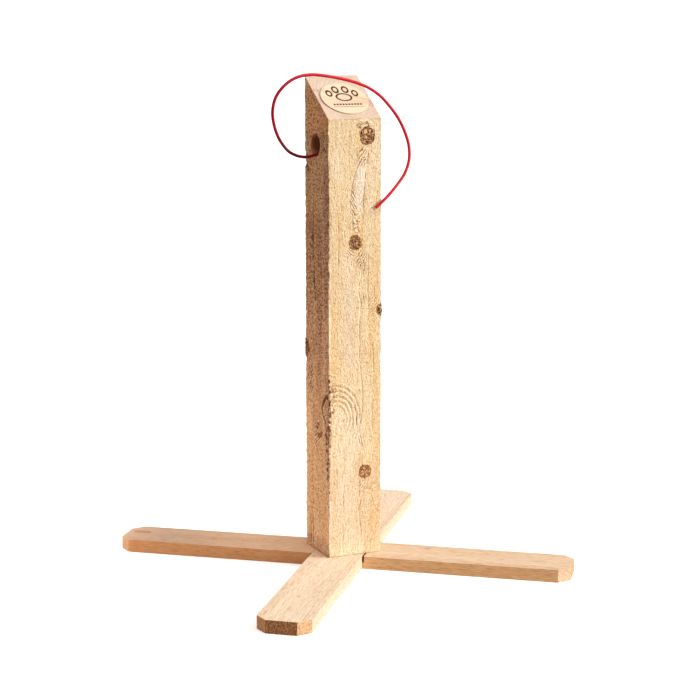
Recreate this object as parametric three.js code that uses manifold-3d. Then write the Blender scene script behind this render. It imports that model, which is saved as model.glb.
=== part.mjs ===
// A cat scratching post: a rough-sawn cedar post with a slanted top, standing on a half-lapped cross
// of two boards, with a springy red teaser wire looping out of a hole near the top.
//
// Millimetres, +Z up. The origin is the middle of the cross at floor level. The post's four faces look
// along X and Y: its front, -Y, is the low side of the slanted top, and the wire leaves its left face, -X.

import * as THREE from 'three';
import { mergeVertices } from 'three/addons/utils/BufferGeometryUtils.js';
import Module from 'manifold-3d';

const { degToRad } = THREE.MathUtils;

// Clearance between pieces that touch.
const GAP = 0.3;

// Post
const POST_SIDE = 97;
const TOP_HEIGHT = 835; // the high back edge of the top, above the floor
const TOP_SLOPE = degToRad(35);

// Cross of two equal boards: the upper one runs front to back, and the lower one left to right.
const BOARD_LENGTH = 800;
const BOARD_WIDTH = 89;
const BOARD_THICKNESS = 22;
const BOARD_CORNER_CUT = 19;
const NOTCH_PLAY = 2.6; // the lower board's notch is this much too wide, towards the right leg
const CROSS_TURN = degToRad(7); // how far the cross is turned past the post's diagonals
const UPPER_BOARD_ANGLE = degToRad(225) + CROSS_TURN;
const LOWER_BOARD_ANGLE = degToRad(-45) + CROSS_TURN;

// Blind hole in the post's left face, with the wire's socket drilled on from the middle of its floor.
const HOLE_RADIUS = 19;
const HOLE_DEPTH = 60;
const HOLE_Y = 4;
const HOLE_Z = 722;
const HOLE_SIDES = 40;
const SOCKET_DEPTH = 25;

// Teaser wire: a spring steel core in a red plastic jacket.
const JACKET_RADIUS = 2.6;
const CORE_RADIUS = 1;
const WIRE_SIDES = 8;
const ROOT_STEPS = 16;
const LOOP_STEPS = 76;

// Round plaque glued on the slanted top.
const PLAQUE_RADIUS = 41.5;
const PLAQUE_THICKNESS = 1.5;
const PLAQUE_UP_SLOPE = 52.5; // its centre, measured up the slope from the front edge
const PLAQUE_SIDES = 64;

// Countersunk wood screws, driven up through both boards into the post.
const SCREW_OFFSET = 28; // from the middle of the cross
const SCREW_RECESS = 0.8; // how far up inside the lower board the head lies
const SCREW_LENGTH = 60;
const SCREW_HEAD_RADIUS = 4.6;
const SCREW_HEAD_RIM = 0.4;
const SCREW_HEAD_DEPTH = 3;
const SCREW_SHANK_RADIUS = 2;
const SCREW_SHANK_LENGTH = 20;
const SCREW_THREAD_RADIUS = 2.4;
const SCREW_THREAD_ROOT = 1.7;
const SCREW_PITCH = 3.5;
const SCREW_SIDES = 12;
const DRIVE_ARM = 2.6; // half the length of the cross-shaped drive recess
const DRIVE_WIDTH = 1;
const DRIVE_DEPTH = 1.6;

const HALF_POST = POST_SIDE / 2;
const FRONT_HEIGHT = TOP_HEIGHT - POST_SIDE * Math.tan(TOP_SLOPE);
const LAP_HEIGHT = BOARD_THICKNESS / 2;
const OUTSIDE = 2; // how far a cutting tool runs past the surface that it opens

// The wire's route, in two stretches: from its socket to the lip of the hole, and from there round the
// loop to its cut end, just in front of the post's right edge.
const ROOT_ROUTE = [
	[34, 4, 722],
	[12, 4, 722],
	[0, 3.4, 719.2],
	[-14, 2.2, 714.2],
	[-28, 1, 709.2],
	[-40, 0.6, 706.9],
	[-48, 1, 706.4],
];
const LOOP_ROUTE = [
	[-49.4, 1, 706.1],
	[-62, 0, 703.2],
	[-75, -2, 703.4],
	[-88, -4, 706.8],
	[-101, -6, 713.6],
	[-119, -12, 733],
	[-131, -19, 756],
	[-136, -24, 779.5],
	[-131.5, -27, 802.5],
	[-117.5, -30, 821.5],
	[-97, -31, 834],
	[-72, -31, 838.5],
	[-46, -31, 836.5],
	[-19, -29, 832],
	[7, -28, 826],
	[32.5, -27, 817],
	[55, -26, 803.5],
	[74, -25, 785.5],
	[90, -26, 765],
	[101, -28, 743],
	[107, -32, 720],
	[105.5, -37, 696],
	[95, -42, 673.5],
	[77.5, -46.6, 654],
	[58.5, -50.6, 636.4],
	[37, -52.4, 619],
];

const wasm = await Module();
wasm.setup();

// ---- materials ----

function finish(color, roughness, metalness = 0) {
	return new THREE.MeshStandardMaterial({ color, roughness, metalness });
}

const sawnCedar = finish(0xe6c08a, 0.9);
const planedCedar = finish(0xedcb98, 0.75);
const plaqueWood = finish(0xf2d6a6, 0.6);
const redPlastic = finish(0xd4182e, 0.4);
const springSteel = finish(0x55504c, 0.45, 0.9);
const zincSteel = finish(0xb9b4a6, 0.4, 0.9);

// ---- solids ----

function toSolid(geometry) {
	const bare = geometry.clone();
	bare.deleteAttribute('normal');
	bare.deleteAttribute('uv');
	const merged = mergeVertices(bare);
	return new wasm.Manifold(
		new wasm.Mesh({
			numProp: 3,
			vertProperties: new Float32Array(merged.attributes.position.array),
			triVerts: new Uint32Array(merged.index.array),
		}),
	);
}

function toGeometry(solid) {
	const mesh = solid.getMesh();
	const geometry = new THREE.BufferGeometry();
	geometry.setAttribute('position', new THREE.BufferAttribute(mesh.vertProperties, 3));
	geometry.setIndex(new THREE.BufferAttribute(mesh.triVerts, 1));
	geometry.computeVertexNormals();
	return geometry;
}

function cut(body, tools) {
	const remove = (solid, tool) => solid.subtract(toSolid(tool));
	return toGeometry(tools.reduce(remove, toSolid(body)));
}

function named(name, geometry, material) {
	const mesh = new THREE.Mesh(geometry, material);
	mesh.name = name;
	return mesh;
}

function block(x0, x1, y0, y1, z0, z1) {
	const box = new THREE.BoxGeometry(x1 - x0, y1 - y0, z1 - z0);
	return box.translate((x0 + x1) / 2, (y0 + y1) / 2, (z0 + z1) / 2);
}

// A cylinder along X, from one x to another.
function levelRod(radius, from, to, y, z, sides) {
	const rod = new THREE.CylinderGeometry(radius, radius, to - from, sides);
	rod.rotateZ(Math.PI / 2);
	return rod.translate((from + to) / 2, y, z);
}

// A solid of revolution about Z, from [radius, z] points that run upwards and end on the axis.
function turned(profile, sides) {
	const points = profile.map(([radius, z]) => new THREE.Vector2(radius, z));
	return new THREE.LatheGeometry(points, sides).rotateX(Math.PI / 2);
}

// ---- screws ----

// Where the screws stand in a board's own frame, whose X runs along the board.
const SCREW_PLACES = [0, 1, 2, 3].map((quarter) => {
	const angle = (quarter * Math.PI) / 2;
	return [SCREW_OFFSET * Math.cos(angle), SCREW_OFFSET * Math.sin(angle)];
});

function screwGeometry() {
	const tip = SCREW_RECESS + SCREW_LENGTH;
	const threadStart = SCREW_RECESS + SCREW_SHANK_LENGTH;
	const threadEnd = tip - 2 * SCREW_PITCH;
	const profile = [
		[0, SCREW_RECESS],
		[SCREW_HEAD_RADIUS, SCREW_RECESS],
		[SCREW_HEAD_RADIUS, SCREW_RECESS + SCREW_HEAD_RIM],
		[SCREW_SHANK_RADIUS, SCREW_RECESS + SCREW_HEAD_DEPTH],
		[SCREW_SHANK_RADIUS, threadStart],
		[SCREW_THREAD_ROOT, threadStart + SCREW_PITCH / 2],
	];
	for (let z = threadStart + SCREW_PITCH; z < threadEnd; z += SCREW_PITCH) {
		profile.push([SCREW_THREAD_RADIUS, z]);
		profile.push([SCREW_THREAD_ROOT, z + SCREW_PITCH / 2]);
	}
	profile.push([0, tip]);
	const half = DRIVE_WIDTH / 2;
	const low = SCREW_RECESS - OUTSIDE;
	const high = SCREW_RECESS + DRIVE_DEPTH;
	return cut(turned(profile, SCREW_SIDES), [
		block(-DRIVE_ARM, DRIVE_ARM, -half, half, low, high),
		block(-half, half, -DRIVE_ARM, DRIVE_ARM, low, high),
	]);
}

// The clearance hole round a screw, countersunk at floor level. It runs on past the screw's tip.
function screwHole([x, y]) {
	const radius = SCREW_THREAD_RADIUS + GAP;
	const headRadius = SCREW_HEAD_RADIUS + GAP;
	const headTop = SCREW_RECESS + SCREW_HEAD_RIM + GAP;
	const profile = [
		[0, -OUTSIDE],
		[headRadius, -OUTSIDE],
		[headRadius, headTop],
		[radius, headTop + headRadius - radius],
		[radius, SCREW_RECESS + SCREW_LENGTH + GAP],
		[0, SCREW_RECESS + SCREW_LENGTH + OUTSIDE],
	];
	return turned(profile, 2 * SCREW_SIDES).translate(x, y, 0);
}

function screws() {
	const group = new THREE.Group();
	group.rotation.z = LOWER_BOARD_ANGLE;
	const names = ['right', 'back', 'left', 'front'];
	const geometry = screwGeometry();
	SCREW_PLACES.forEach(([x, y], i) => {
		const screw = named(`base_screw_${names[i]}`, geometry, zincSteel);
		screw.position.set(x, y, 0);
		group.add(screw);
	});
	return group;
}

// ---- cross boards ----

// A board along X with its four corners cut at 45 degrees.
function boardBlank() {
	const end = BOARD_LENGTH / 2;
	const side = BOARD_WIDTH / 2;
	const c = BOARD_CORNER_CUT;
	const outline = new THREE.Shape();
	outline.moveTo(end, -side + c);
	outline.lineTo(end, side - c);
	outline.lineTo(end - c, side);
	outline.lineTo(-end + c, side);
	outline.lineTo(-end, side - c);
	outline.lineTo(-end, -side + c);
	outline.lineTo(-end + c, -side);
	outline.lineTo(end - c, -side);
	outline.closePath();
	return new THREE.ExtrudeGeometry(outline, { depth: BOARD_THICKNESS, bevelEnabled: false });
}

function notchedBoard(name, notch, angle) {
	const geometry = cut(boardBlank(), [notch, ...SCREW_PLACES.map(screwHole)]);
	const board = named(name, geometry, planedCedar);
	board.rotation.z = angle;
	return board;
}

function upperBoard() {
	const reach = BOARD_WIDTH / 2 + GAP;
	const notch = block(-reach, reach, -BOARD_WIDTH, BOARD_WIDTH, -OUTSIDE, LAP_HEIGHT + GAP / 2);
	return notchedBoard('upper_cross_board', notch, UPPER_BOARD_ANGLE);
}

function lowerBoard() {
	const reach = BOARD_WIDTH / 2 + GAP;
	const notchTop = BOARD_THICKNESS + OUTSIDE;
	const notch = block(
		-reach,
		BOARD_WIDTH / 2 + NOTCH_PLAY,
		-BOARD_WIDTH,
		BOARD_WIDTH,
		LAP_HEIGHT - GAP / 2,
		notchTop,
	);
	return notchedBoard('lower_cross_board', notch, LOWER_BOARD_ANGLE);
}

// ---- post ----

// The post's side view, in Y and Z, swept from its left face to its right one.
function postBlank() {
	const foot = BOARD_THICKNESS + GAP;
	const side = new THREE.Shape();
	side.moveTo(-HALF_POST, foot);
	side.lineTo(HALF_POST, foot);
	side.lineTo(HALF_POST, TOP_HEIGHT);
	side.lineTo(-HALF_POST, FRONT_HEIGHT);
	side.closePath();
	const blank = new THREE.ExtrudeGeometry(side, { depth: POST_SIDE, bevelEnabled: false });
	const alongX = new THREE.Matrix4().makeBasis(
		new THREE.Vector3(0, 1, 0),
		new THREE.Vector3(0, 0, 1),
		new THREE.Vector3(1, 0, 0),
	);
	blank.applyMatrix4(alongX);
	return blank.translate(-HALF_POST, 0, 0);
}

function post() {
	const holeFloor = -HALF_POST + HOLE_DEPTH;
	const socketFloor = holeFloor + SOCKET_DEPTH;
	const hole = levelRod(HOLE_RADIUS, -HALF_POST - OUTSIDE, holeFloor, HOLE_Y, HOLE_Z, HOLE_SIDES);
	const socket = levelRod(JACKET_RADIUS + GAP, holeFloor - OUTSIDE, socketFloor, HOLE_Y, HOLE_Z, 16);
	const holes = SCREW_PLACES.map((place) => screwHole(place).rotateZ(LOWER_BOARD_ANGLE));
	return named('post', cut(postBlank(), [hole, socket, ...holes]), sawnCedar);
}

// ---- plaque ----

function plaque() {
	const disc = new THREE.CylinderGeometry(PLAQUE_RADIUS, PLAQUE_RADIUS, PLAQUE_THICKNESS, PLAQUE_SIDES);
	const mesh = named('top_plaque', disc, plaqueWood);
	const upSlope = new THREE.Vector3(0, Math.cos(TOP_SLOPE), Math.sin(TOP_SLOPE));
	const outward = new THREE.Vector3(0, -Math.sin(TOP_SLOPE), Math.cos(TOP_SLOPE));
	mesh.position.set(0, -HALF_POST, FRONT_HEIGHT);
	mesh.position.addScaledVector(upSlope, PLAQUE_UP_SLOPE);
	mesh.position.addScaledVector(outward, GAP + PLAQUE_THICKNESS / 2);
	mesh.rotation.x = Math.PI / 2 + TOP_SLOPE;
	return mesh;
}

// ---- teaser wire ----

function circle(radius, Kind = THREE.Shape) {
	const outline = new Kind();
	outline.absarc(0, 0, radius, 0, 2 * Math.PI);
	return outline;
}

function sweep(section, route, steps) {
	const points = route.map(([x, y, z]) => new THREE.Vector3(x, y, z));
	return new THREE.ExtrudeGeometry(section, {
		extrudePath: new THREE.CatmullRomCurve3(points),
		curveSegments: WIRE_SIDES / 2, // a full circle gets two sides for each
		steps,
	});
}

function wireStretch(stretch, route, steps) {
	const jacket = circle(JACKET_RADIUS);
	jacket.holes.push(circle(CORE_RADIUS + GAP, THREE.Path));
	return [
		named(`wire_jacket_${stretch}`, sweep(jacket, route, steps), redPlastic),
		named(`wire_core_${stretch}`, sweep(circle(CORE_RADIUS), route, steps), springSteel),
	];
}

// ---- the whole post ----

const scratchingPost = new THREE.Group();
scratchingPost.add(lowerBoard(), upperBoard(), post(), plaque(), screws());
scratchingPost.add(...wireStretch('root', ROOT_ROUTE, ROOT_STEPS));
scratchingPost.add(...wireStretch('loop', LOOP_ROUTE, LOOP_STEPS));

export default scratchingPost;
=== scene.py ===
"""The looks of a cat scratching post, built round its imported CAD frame.

Metres, +Z up, in the row frame: the post's front looks along -Y, its left face along -X, and the
floor is z = 0. Shape that shows is in the meshes: rounded and torn edges, knots, ripples, the drilled
hole. The grain, the colour and the finest fibre are in node materials, which read where they are
from the mesh: its own place, and attributes that carry the grain's flow round the knots.
"""

import math

import bpy
import numpy as np
from mathutils import Matrix, Vector


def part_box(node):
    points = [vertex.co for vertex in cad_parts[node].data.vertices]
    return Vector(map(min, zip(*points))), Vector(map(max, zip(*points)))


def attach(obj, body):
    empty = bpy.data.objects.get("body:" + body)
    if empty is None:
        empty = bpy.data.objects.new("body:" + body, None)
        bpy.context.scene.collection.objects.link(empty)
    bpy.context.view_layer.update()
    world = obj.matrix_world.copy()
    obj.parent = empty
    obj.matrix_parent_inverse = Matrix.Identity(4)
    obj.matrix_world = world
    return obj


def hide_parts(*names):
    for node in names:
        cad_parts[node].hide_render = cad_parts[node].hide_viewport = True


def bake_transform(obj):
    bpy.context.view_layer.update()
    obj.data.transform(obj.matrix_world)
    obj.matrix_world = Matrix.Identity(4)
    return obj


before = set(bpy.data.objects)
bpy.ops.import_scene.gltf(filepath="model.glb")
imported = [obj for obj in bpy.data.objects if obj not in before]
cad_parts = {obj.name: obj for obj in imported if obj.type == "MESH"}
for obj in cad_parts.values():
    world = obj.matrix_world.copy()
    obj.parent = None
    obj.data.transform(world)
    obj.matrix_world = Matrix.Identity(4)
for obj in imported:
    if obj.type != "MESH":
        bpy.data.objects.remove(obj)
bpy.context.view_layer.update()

# ---- what the frame says ----

POST_LOW, POST_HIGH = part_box("post")
HALF_POST = POST_HIGH.x
FOOT = POST_LOW.z
TOP_HEIGHT = POST_HIGH.z
TOP_SLOPE = math.radians(35)
FRONT_HEIGHT = TOP_HEIGHT - 2 * HALF_POST * math.tan(TOP_SLOPE)

# The hole in the left face, and the wire's socket in its floor
HOLE_RADIUS = 0.019
HOLE_DEPTH = 0.060
HOLE_Y, HOLE_Z = 0.004, 0.722
SOCKET_RADIUS = 0.0029
SOCKET_DEPTH = 0.025

# Cross boards
BOARD_LENGTH, BOARD_WIDTH, BOARD_THICKNESS = 0.800, 0.089, 0.022
BOARD_CORNER_CUT = 0.019
GAP = 0.0003
NOTCH_PLAY = 0.0026
UPPER_BOARD_ANGLE = math.radians(232)
LOWER_BOARD_ANGLE = math.radians(-38)
SCREW_OFFSET = 0.028

# Plaque
PLAQUE_RADIUS, PLAQUE_THICKNESS = 0.0415, 0.0015
PLAQUE_UP_SLOPE = 0.0525

# Teaser wire: the same route as the CAD wire in model.glb
JACKET_RADIUS, CORE_RADIUS = 0.0026, 0.001
ROOT_ROUTE = [
    (0.034, 0.004, 0.722), (0.012, 0.004, 0.722), (0.000, 0.0034, 0.7192), (-0.014, 0.0022, 0.7142),
    (-0.028, 0.001, 0.7092), (-0.040, 0.0006, 0.7069), (-0.048, 0.001, 0.7064),
]
LOOP_ROUTE = [
    (-0.0494, 0.001, 0.7061), (-0.062, 0.000, 0.7032), (-0.075, -0.002, 0.7034),
    (-0.088, -0.004, 0.7068), (-0.101, -0.006, 0.7136), (-0.119, -0.012, 0.733),
    (-0.131, -0.019, 0.756), (-0.136, -0.024, 0.7795), (-0.1315, -0.027, 0.8025),
    (-0.1175, -0.030, 0.8215), (-0.097, -0.031, 0.834), (-0.072, -0.031, 0.8385),
    (-0.046, -0.031, 0.8365), (-0.019, -0.029, 0.832), (0.007, -0.028, 0.826),
    (0.0325, -0.027, 0.817), (0.055, -0.026, 0.8035), (0.074, -0.025, 0.7855),
    (0.090, -0.026, 0.765), (0.101, -0.028, 0.743), (0.107, -0.032, 0.720),
    (0.1055, -0.037, 0.696), (0.095, -0.042, 0.6735), (0.0775, -0.0466, 0.654),
    (0.0585, -0.0506, 0.6364), (0.037, -0.0524, 0.619),
]
WIRE_STEP = 0.002
WIRE_SIDES = 16
BEND_LENGTH = 0.050  # past the lip of the hole, over which bend_at_lip's share of the turn rises


# ---- camera ----

CAMERA_LENS, CAMERA_SENSOR = 90, 36  # millimetres
CAMERA_TARGET = Vector((0.0131, 0, 0.3710))
CAMERA_DISTANCE = 2.9978
CAMERA_AZIMUTH, CAMERA_ELEVATION = -24.489, 10.329  # degrees, seen from the target


def aim(thing, place, target):
    thing.location = place
    thing.rotation_mode = "QUATERNION"
    thing.rotation_quaternion = (Vector(target) - Vector(place)).to_track_quat("-Z", "Y")


def towards(azimuth, elevation):
    """The direction from the object to a camera or lamp. Azimuth 0 is in front, and 90 to the right."""
    a, e = math.radians(azimuth), math.radians(elevation)
    return Vector((math.sin(a) * math.cos(e), -math.cos(a) * math.cos(e), math.sin(e)))


def add_camera():
    data = bpy.data.cameras.new("camera")
    data.lens, data.sensor_width = CAMERA_LENS, CAMERA_SENSOR
    data.clip_start, data.clip_end = 0.05, 100
    camera = add_object("camera", data)
    place = CAMERA_TARGET + CAMERA_DISTANCE * towards(CAMERA_AZIMUTH, CAMERA_ELEVATION)
    aim(camera, place, CAMERA_TARGET)
    bpy.context.scene.camera = camera


# ---- repeatable noise for shapes ----

def lattice(i, j, k, seed):
    """A repeatable number from 0 to 1 for each corner of a grid of unit cells."""
    n = (i * 374761393 + j * 668265263 + k * 1440662683 + seed * 69069) & 0xFFFFFFFF
    n = ((n ^ (n >> 13)) * 1274126177) & 0xFFFFFFFF
    return ((n ^ (n >> 16)) & 0xFFFFFF) / 0xFFFFFF


def noise(points, size, seed, octaves=1):
    """Smooth noise from -1 to 1 at each point. size is its wavelength, or those along X, Y and Z."""
    total, weight = 0.0, 0.0
    for octave in range(octaves):
        scaled = points / np.array(size) * 2**octave
        cell = np.floor(scaled).astype(np.int64)
        part = scaled - cell
        part = part * part * (3 - 2 * part)
        value = 0.0
        for corner in np.ndindex(2, 2, 2):
            share = np.prod(np.where(corner, part, 1 - part), axis=1)
            value = value + share * lattice(*(cell + corner).T, seed + 17 * octave)
        total = total + (2 * value - 1) / 2**octave
        weight += 1 / 2**octave
    return total / weight


def rise(x, low, high):
    """0 below low, 1 above high and smooth between them. low may be the greater one."""
    t = np.clip((x - low) / (high - low), 0, 1)
    return t * t * (3 - 2 * t)


# ---- meshes ----

def add_object(name, data):
    made = bpy.data.objects.new(name, data)
    bpy.context.scene.collection.objects.link(made)
    return made


def make_piece(name, vertices, faces, materials=(), slots=None):
    """An object from points and faces. slots gives each face's material."""
    mesh = bpy.data.meshes.new(name)
    mesh.from_pydata([tuple(v) for v in vertices], [], faces)
    for material in materials:
        mesh.materials.append(material)
    if slots is not None:
        mesh.polygons.foreach_set("material_index", slots)
    mesh.update()
    return add_object(name, mesh)


def circle(sides):
    """The points of a circle of radius 1."""
    angles = [2 * math.pi * k / sides for k in range(sides)]
    return [(math.cos(a), math.sin(a)) for a in angles]


def stack_faces(sides, rings):
    """The faces of a closed stack of rings, each of as many points, from the lowest ring up."""
    faces = [tuple(range(sides))[::-1]]
    for low in range(0, (rings - 1) * sides, sides):
        high = low + sides
        faces += [(low + k, low + (k + 1) % sides, high + (k + 1) % sides, high + k) for k in range(sides)]
    return faces + [tuple(range((rings - 1) * sides, rings * sides))]


def prism(name, corners, low, high, materials=()):
    """An upright block between two heights. Its corners run anticlockwise, seen from above."""
    vertices = [(x, y, z) for z in (low, high) for x, y in corners]
    return make_piece(name, vertices, stack_faces(len(corners), 2), materials)


def smooth_but_for(piece, angle):
    """Smooth shading, with edges sharper than the angle, in degrees, left crisp."""
    mesh = piece.data
    mesh.polygons.foreach_set("use_smooth", [True] * len(mesh.polygons))
    mesh.set_sharp_from_angle(angle=math.radians(angle))


def keep_values(piece, name, values):
    """Stores a number or a vector for each vertex, for the piece's material to read."""
    values = np.asarray(values, np.float32)
    kind, field = ("FLOAT", "value") if values.ndim == 1 else ("FLOAT_VECTOR", "vector")
    piece.data.attributes.new(name, kind, "POINT").data.foreach_set(field, values.ravel())


def modify(piece, kind, **settings):
    """Gives the piece the mesh that a modifier makes of it."""
    modifier = piece.modifiers.new(kind.lower(), kind)
    for name, value in settings.items():
        setattr(modifier, name, value)
    graph = bpy.context.evaluated_depsgraph_get()
    made = bpy.data.meshes.new_from_object(piece.evaluated_get(graph))
    old = piece.data
    piece.modifiers.clear()
    piece.data = made
    bpy.data.meshes.remove(old)


# ---- node materials ----

class Value:
    """A node's output. Arithmetic on it makes Math nodes, and its methods make nodes of other kinds."""

    def __init__(self, nodes, socket):
        self.nodes, self.socket = nodes, socket

    def math(self, operation, *others):
        return self.nodes.add("Math", dict(enumerate((self, *others))), operation=operation)

    def __add__(self, other):
        return self.math("ADD", other)

    def __sub__(self, other):
        return self.math("SUBTRACT", other)

    def __rsub__(self, other):
        return -1 * self + other

    def __mul__(self, other):
        return self.math("MULTIPLY", other)

    def __truediv__(self, other):
        return self.math("DIVIDE", other)

    def __abs__(self):
        return self.math("ABSOLUTE")

    __radd__, __rmul__ = __add__, __mul__

    def greater(self, other):
        return self.math("MAXIMUM", other)

    def split(self):
        node = self.nodes.make("SeparateXYZ", {"Vector": self})
        return [Value(self.nodes, socket) for socket in node.outputs]

    def length(self):
        return self.nodes.add("VectorMath", {0: self}, "Value", operation="LENGTH")

    def turned(self, rotation=(0, 0, 0), scale=(1, 1, 1), location=(0, 0, 0)):
        inputs = {"Vector": self, "Rotation": rotation, "Scale": scale, "Location": location}
        return self.nodes.add("Mapping", inputs)

    def noise(self, scale, detail=2.0, rough=0.5, distort=0.0):
        """Noise at this place. Its scale is in waves a metre, along each axis or along all three."""
        scale = scale if isinstance(scale, tuple) else (scale,) * 3
        inputs = {"Scale": 1.0, "Detail": detail, "Roughness": rough, "Distortion": distort}
        return self.nodes.add("TexNoise", {"Vector": self.turned(scale=scale), **inputs}, "Fac")

    def rise(self, low, high, to_low=0.0, to_high=1.0):
        """From low to high, smoothly, as to_low to to_high, and level past both."""
        inputs = {"Value": self, "From Min": low, "From Max": high, "To Min": to_low, "To Max": to_high}
        return self.nodes.add("MapRange", inputs, interpolation_type="SMOOTHSTEP")

    def ramp(self, *stops):
        """A colour for each value: stops are (value, red, green, blue)."""
        node = self.nodes.make("ValToRGB", {"Fac": self})
        elements = node.color_ramp.elements
        while len(elements) < len(stops):
            elements.new(1)
        for element, (at, *colour) in zip(elements, stops):
            element.position = at
            element.color = (*colour, 1)
        return Value(self.nodes, node.outputs["Color"])

    def mixed(self, share, colour, how="MIX"):
        """This colour, with the other mixed in where share is 1."""
        inputs = {0: share, 6: self, 7: colour if isinstance(colour, Value) else (*colour, 1)}
        return self.nodes.add("Mix", inputs, 2, data_type="RGBA", blend_type=how)


class Nodes:
    """The nodes of a material or a world, with the colour that is being painted, layer by layer."""

    def __init__(self, owner):
        owner.use_nodes = True
        self.owner, self.tree = owner, owner.node_tree
        self.tree.nodes.clear()

    def make(self, kind, inputs, **settings):
        """A new node. Its inputs are numbers, colours, vectors or other nodes' outputs."""
        node = self.tree.nodes.new("ShaderNode" + kind)
        for name, value in settings.items():
            setattr(node, name, value)
        for name, value in inputs.items():
            if isinstance(value, Value):
                self.tree.links.new(value.socket, node.inputs[name])
            else:
                node.inputs[name].default_value = value
        return node

    def add(self, kind, inputs, output=0, **settings):
        return Value(self, self.make(kind, inputs, **settings).outputs[output])

    def place(self):
        return self.add("TexCoord", {}, "Object")

    def read(self, name, output="Fac"):
        return self.add("Attribute", {}, output, attribute_name=name)

    def join(self, x, y, z):
        return self.add("CombineXYZ", {"X": x, "Y": y, "Z": z})

    def mix(self, share, colour):
        self.colour = self.colour.mixed(share, colour)

    def shade(self, share, tint):
        """Multiplies the colour by tint where share is 1."""
        self.colour = self.colour.mixed(share, tint, "MULTIPLY")

    def show(self, kind, seen, unseen):
        """Ends with one shader for the camera and another for all other rays."""
        ray = self.add("LightPath", {}, "Is Camera Ray")
        self.make(kind, {"Surface": self.add("MixShader", {0: ray, 1: unseen, 2: seen})})

    def finish(self, roughness, height, distance, specular=0.5, metallic=0.0):
        """Ends with the painted colour and the relief. Returns the material."""
        normal = self.add("Bump", {"Height": height, "Distance": distance, "Strength": 1.0})
        inputs = {"Base Color": self.colour, "Roughness": roughness, "Normal": normal,
                  "Specular IOR Level": specular, "Metallic": metallic}
        self.make("OutputMaterial", {"Surface": self.add("BsdfPrincipled", inputs)})
        return self.owner


def material_nodes(name):
    return Nodes(bpy.data.materials.new(name))


RING_PITCH = 0.0031


def ring_lines(radius, wobble):
    """Growth rings: 0 in the pale early wood, rising slowly to 1 at each ring's dark edge."""
    part = ((radius + 0.0035 * wobble) / RING_PITCH).math("FRACT")
    return part.rise(0.35, 0.88) - part.rise(0.93, 1.0)


def seam_lines(n, name, grain):
    """A fine crack and a painted highlight on the wood beside it, from how far each place is from the
    crack.
    """
    side, mask, lip_highlight = n.read(name, "Vector").split()
    side = side + 0.0026 * (grain.noise((260, 260, 130)) - 0.5)
    broken = grain.noise((70, 70, 45), 1).rise(0.38, 0.52)
    dark = abs(side).rise(0.0011, 0.0003) * mask * broken
    return dark, side.rise(-0.0004, -0.0010) * side.rise(-0.0032, -0.0018) * lip_highlight * mask


def ripple_lines(n):
    """Ridges of torn grain: the height of each place on its ridge, from -1 to 1, and how much there is."""
    cycles, mask, disorder = n.read("ripple", "Vector").split()
    turns = cycles + disorder * (n.place().noise(190) - 0.5)
    wave = (2 * math.pi * turns).math("SINE")
    return wave, mask * n.place().noise((150, 150, 110), 1).rise(0.36, 0.52, 0.25, 1.0)


def paint_knots(n):
    """Knots are dark and crossed by pale squiggles, burls are pale and crossed by dark ones, and crevices
    are nearly black. Returns their height."""
    knot, burl, crevice = (n.read(name) for name in ("knot", "burl", "crevice"))
    off_line = abs(n.place().noise(118, 2, 0.6, 0.9) - 0.5)
    squiggle = off_line.rise(0.042, 0.018) * knot.rise(1.18, 0.98, 0.72, 1.0)
    scribble = off_line.rise(0.052, 0.026) * burl.rise(0.10, 0.40)
    n.mix(0.45 * burl, (0.93, 0.78, 0.57))
    n.mix(0.88 * scribble, (0.25, 0.105, 0.042))

    chips = n.place().noise(260, 2, 0.6)
    core = (knot + 0.4 - 0.8 * chips).rise(0.28, 0.44)
    bark = chips.ramp((0.38, 0.060, 0.020, 0.008), (0.50, 0.17, 0.062, 0.024), (0.64, 0.36, 0.155, 0.060))
    bark = bark.mixed(knot.rise(0.90, 0.72, 0.0, 0.75), (0.40, 0.165, 0.060))
    bark = bark.mixed(0.80 * squiggle, (0.86, 0.55, 0.28))
    bark = bark.mixed(0.85 * knot.rise(0.78, 0.45), (0.20, 0.072, 0.026))
    n.mix(core, bark)
    crack = (crevice + 0.35 - 0.7 * chips).rise(0.18, 0.46)
    n.mix(0.88 * crack, (0.15, 0.052, 0.017))
    return (chips + 0.9 * squiggle) * core - crack


# Flecks on rough faces: waves a metre, detail, the noise's low and high, how strong, how much more so
# where it is gritty, tint
FLECKS = [
    ((360, 360, 95), 2, 0.57, 0.68, 0.24, 0.30, (0.66, 0.47, 0.29)),
    ((520, 520, 170), 2, 0.53, 0.64, 0.45, 0.20, (0.74, 0.54, 0.32)),
    ((600, 600, 340), 1, 0.53, 0.66, 0.45, 0.20, (0.70, 0.48, 0.28)),
]


def paint_fibres(n, grain, grit):
    """Returns the fibres, the tufts that stand out of them, and the height of these and the flecks."""
    fibre, tuft = grain.noise((800, 800, 80), 3, 0.6), grain.noise((430, 430, 260), 2, 0.6)
    n.shade(fibre.rise(0.62, 0.30, 0.0, 0.30), (0.78, 0.66, 0.50))
    relief = fibre + tuft
    for scale, detail, low, high, share, more, tint in FLECKS:
        fleck = grain.noise(scale, detail).rise(low, high)
        n.shade(fleck * (share + more * grit), tint)
        relief -= 0.5 * fleck
    # Tufts that stand out are paler, partly their own colour and partly a painted highlight.
    n.mix(0.50 * tuft.rise(0.52, 0.66), (0.95, 0.83, 0.61))
    return fibre, tuft, relief


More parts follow.
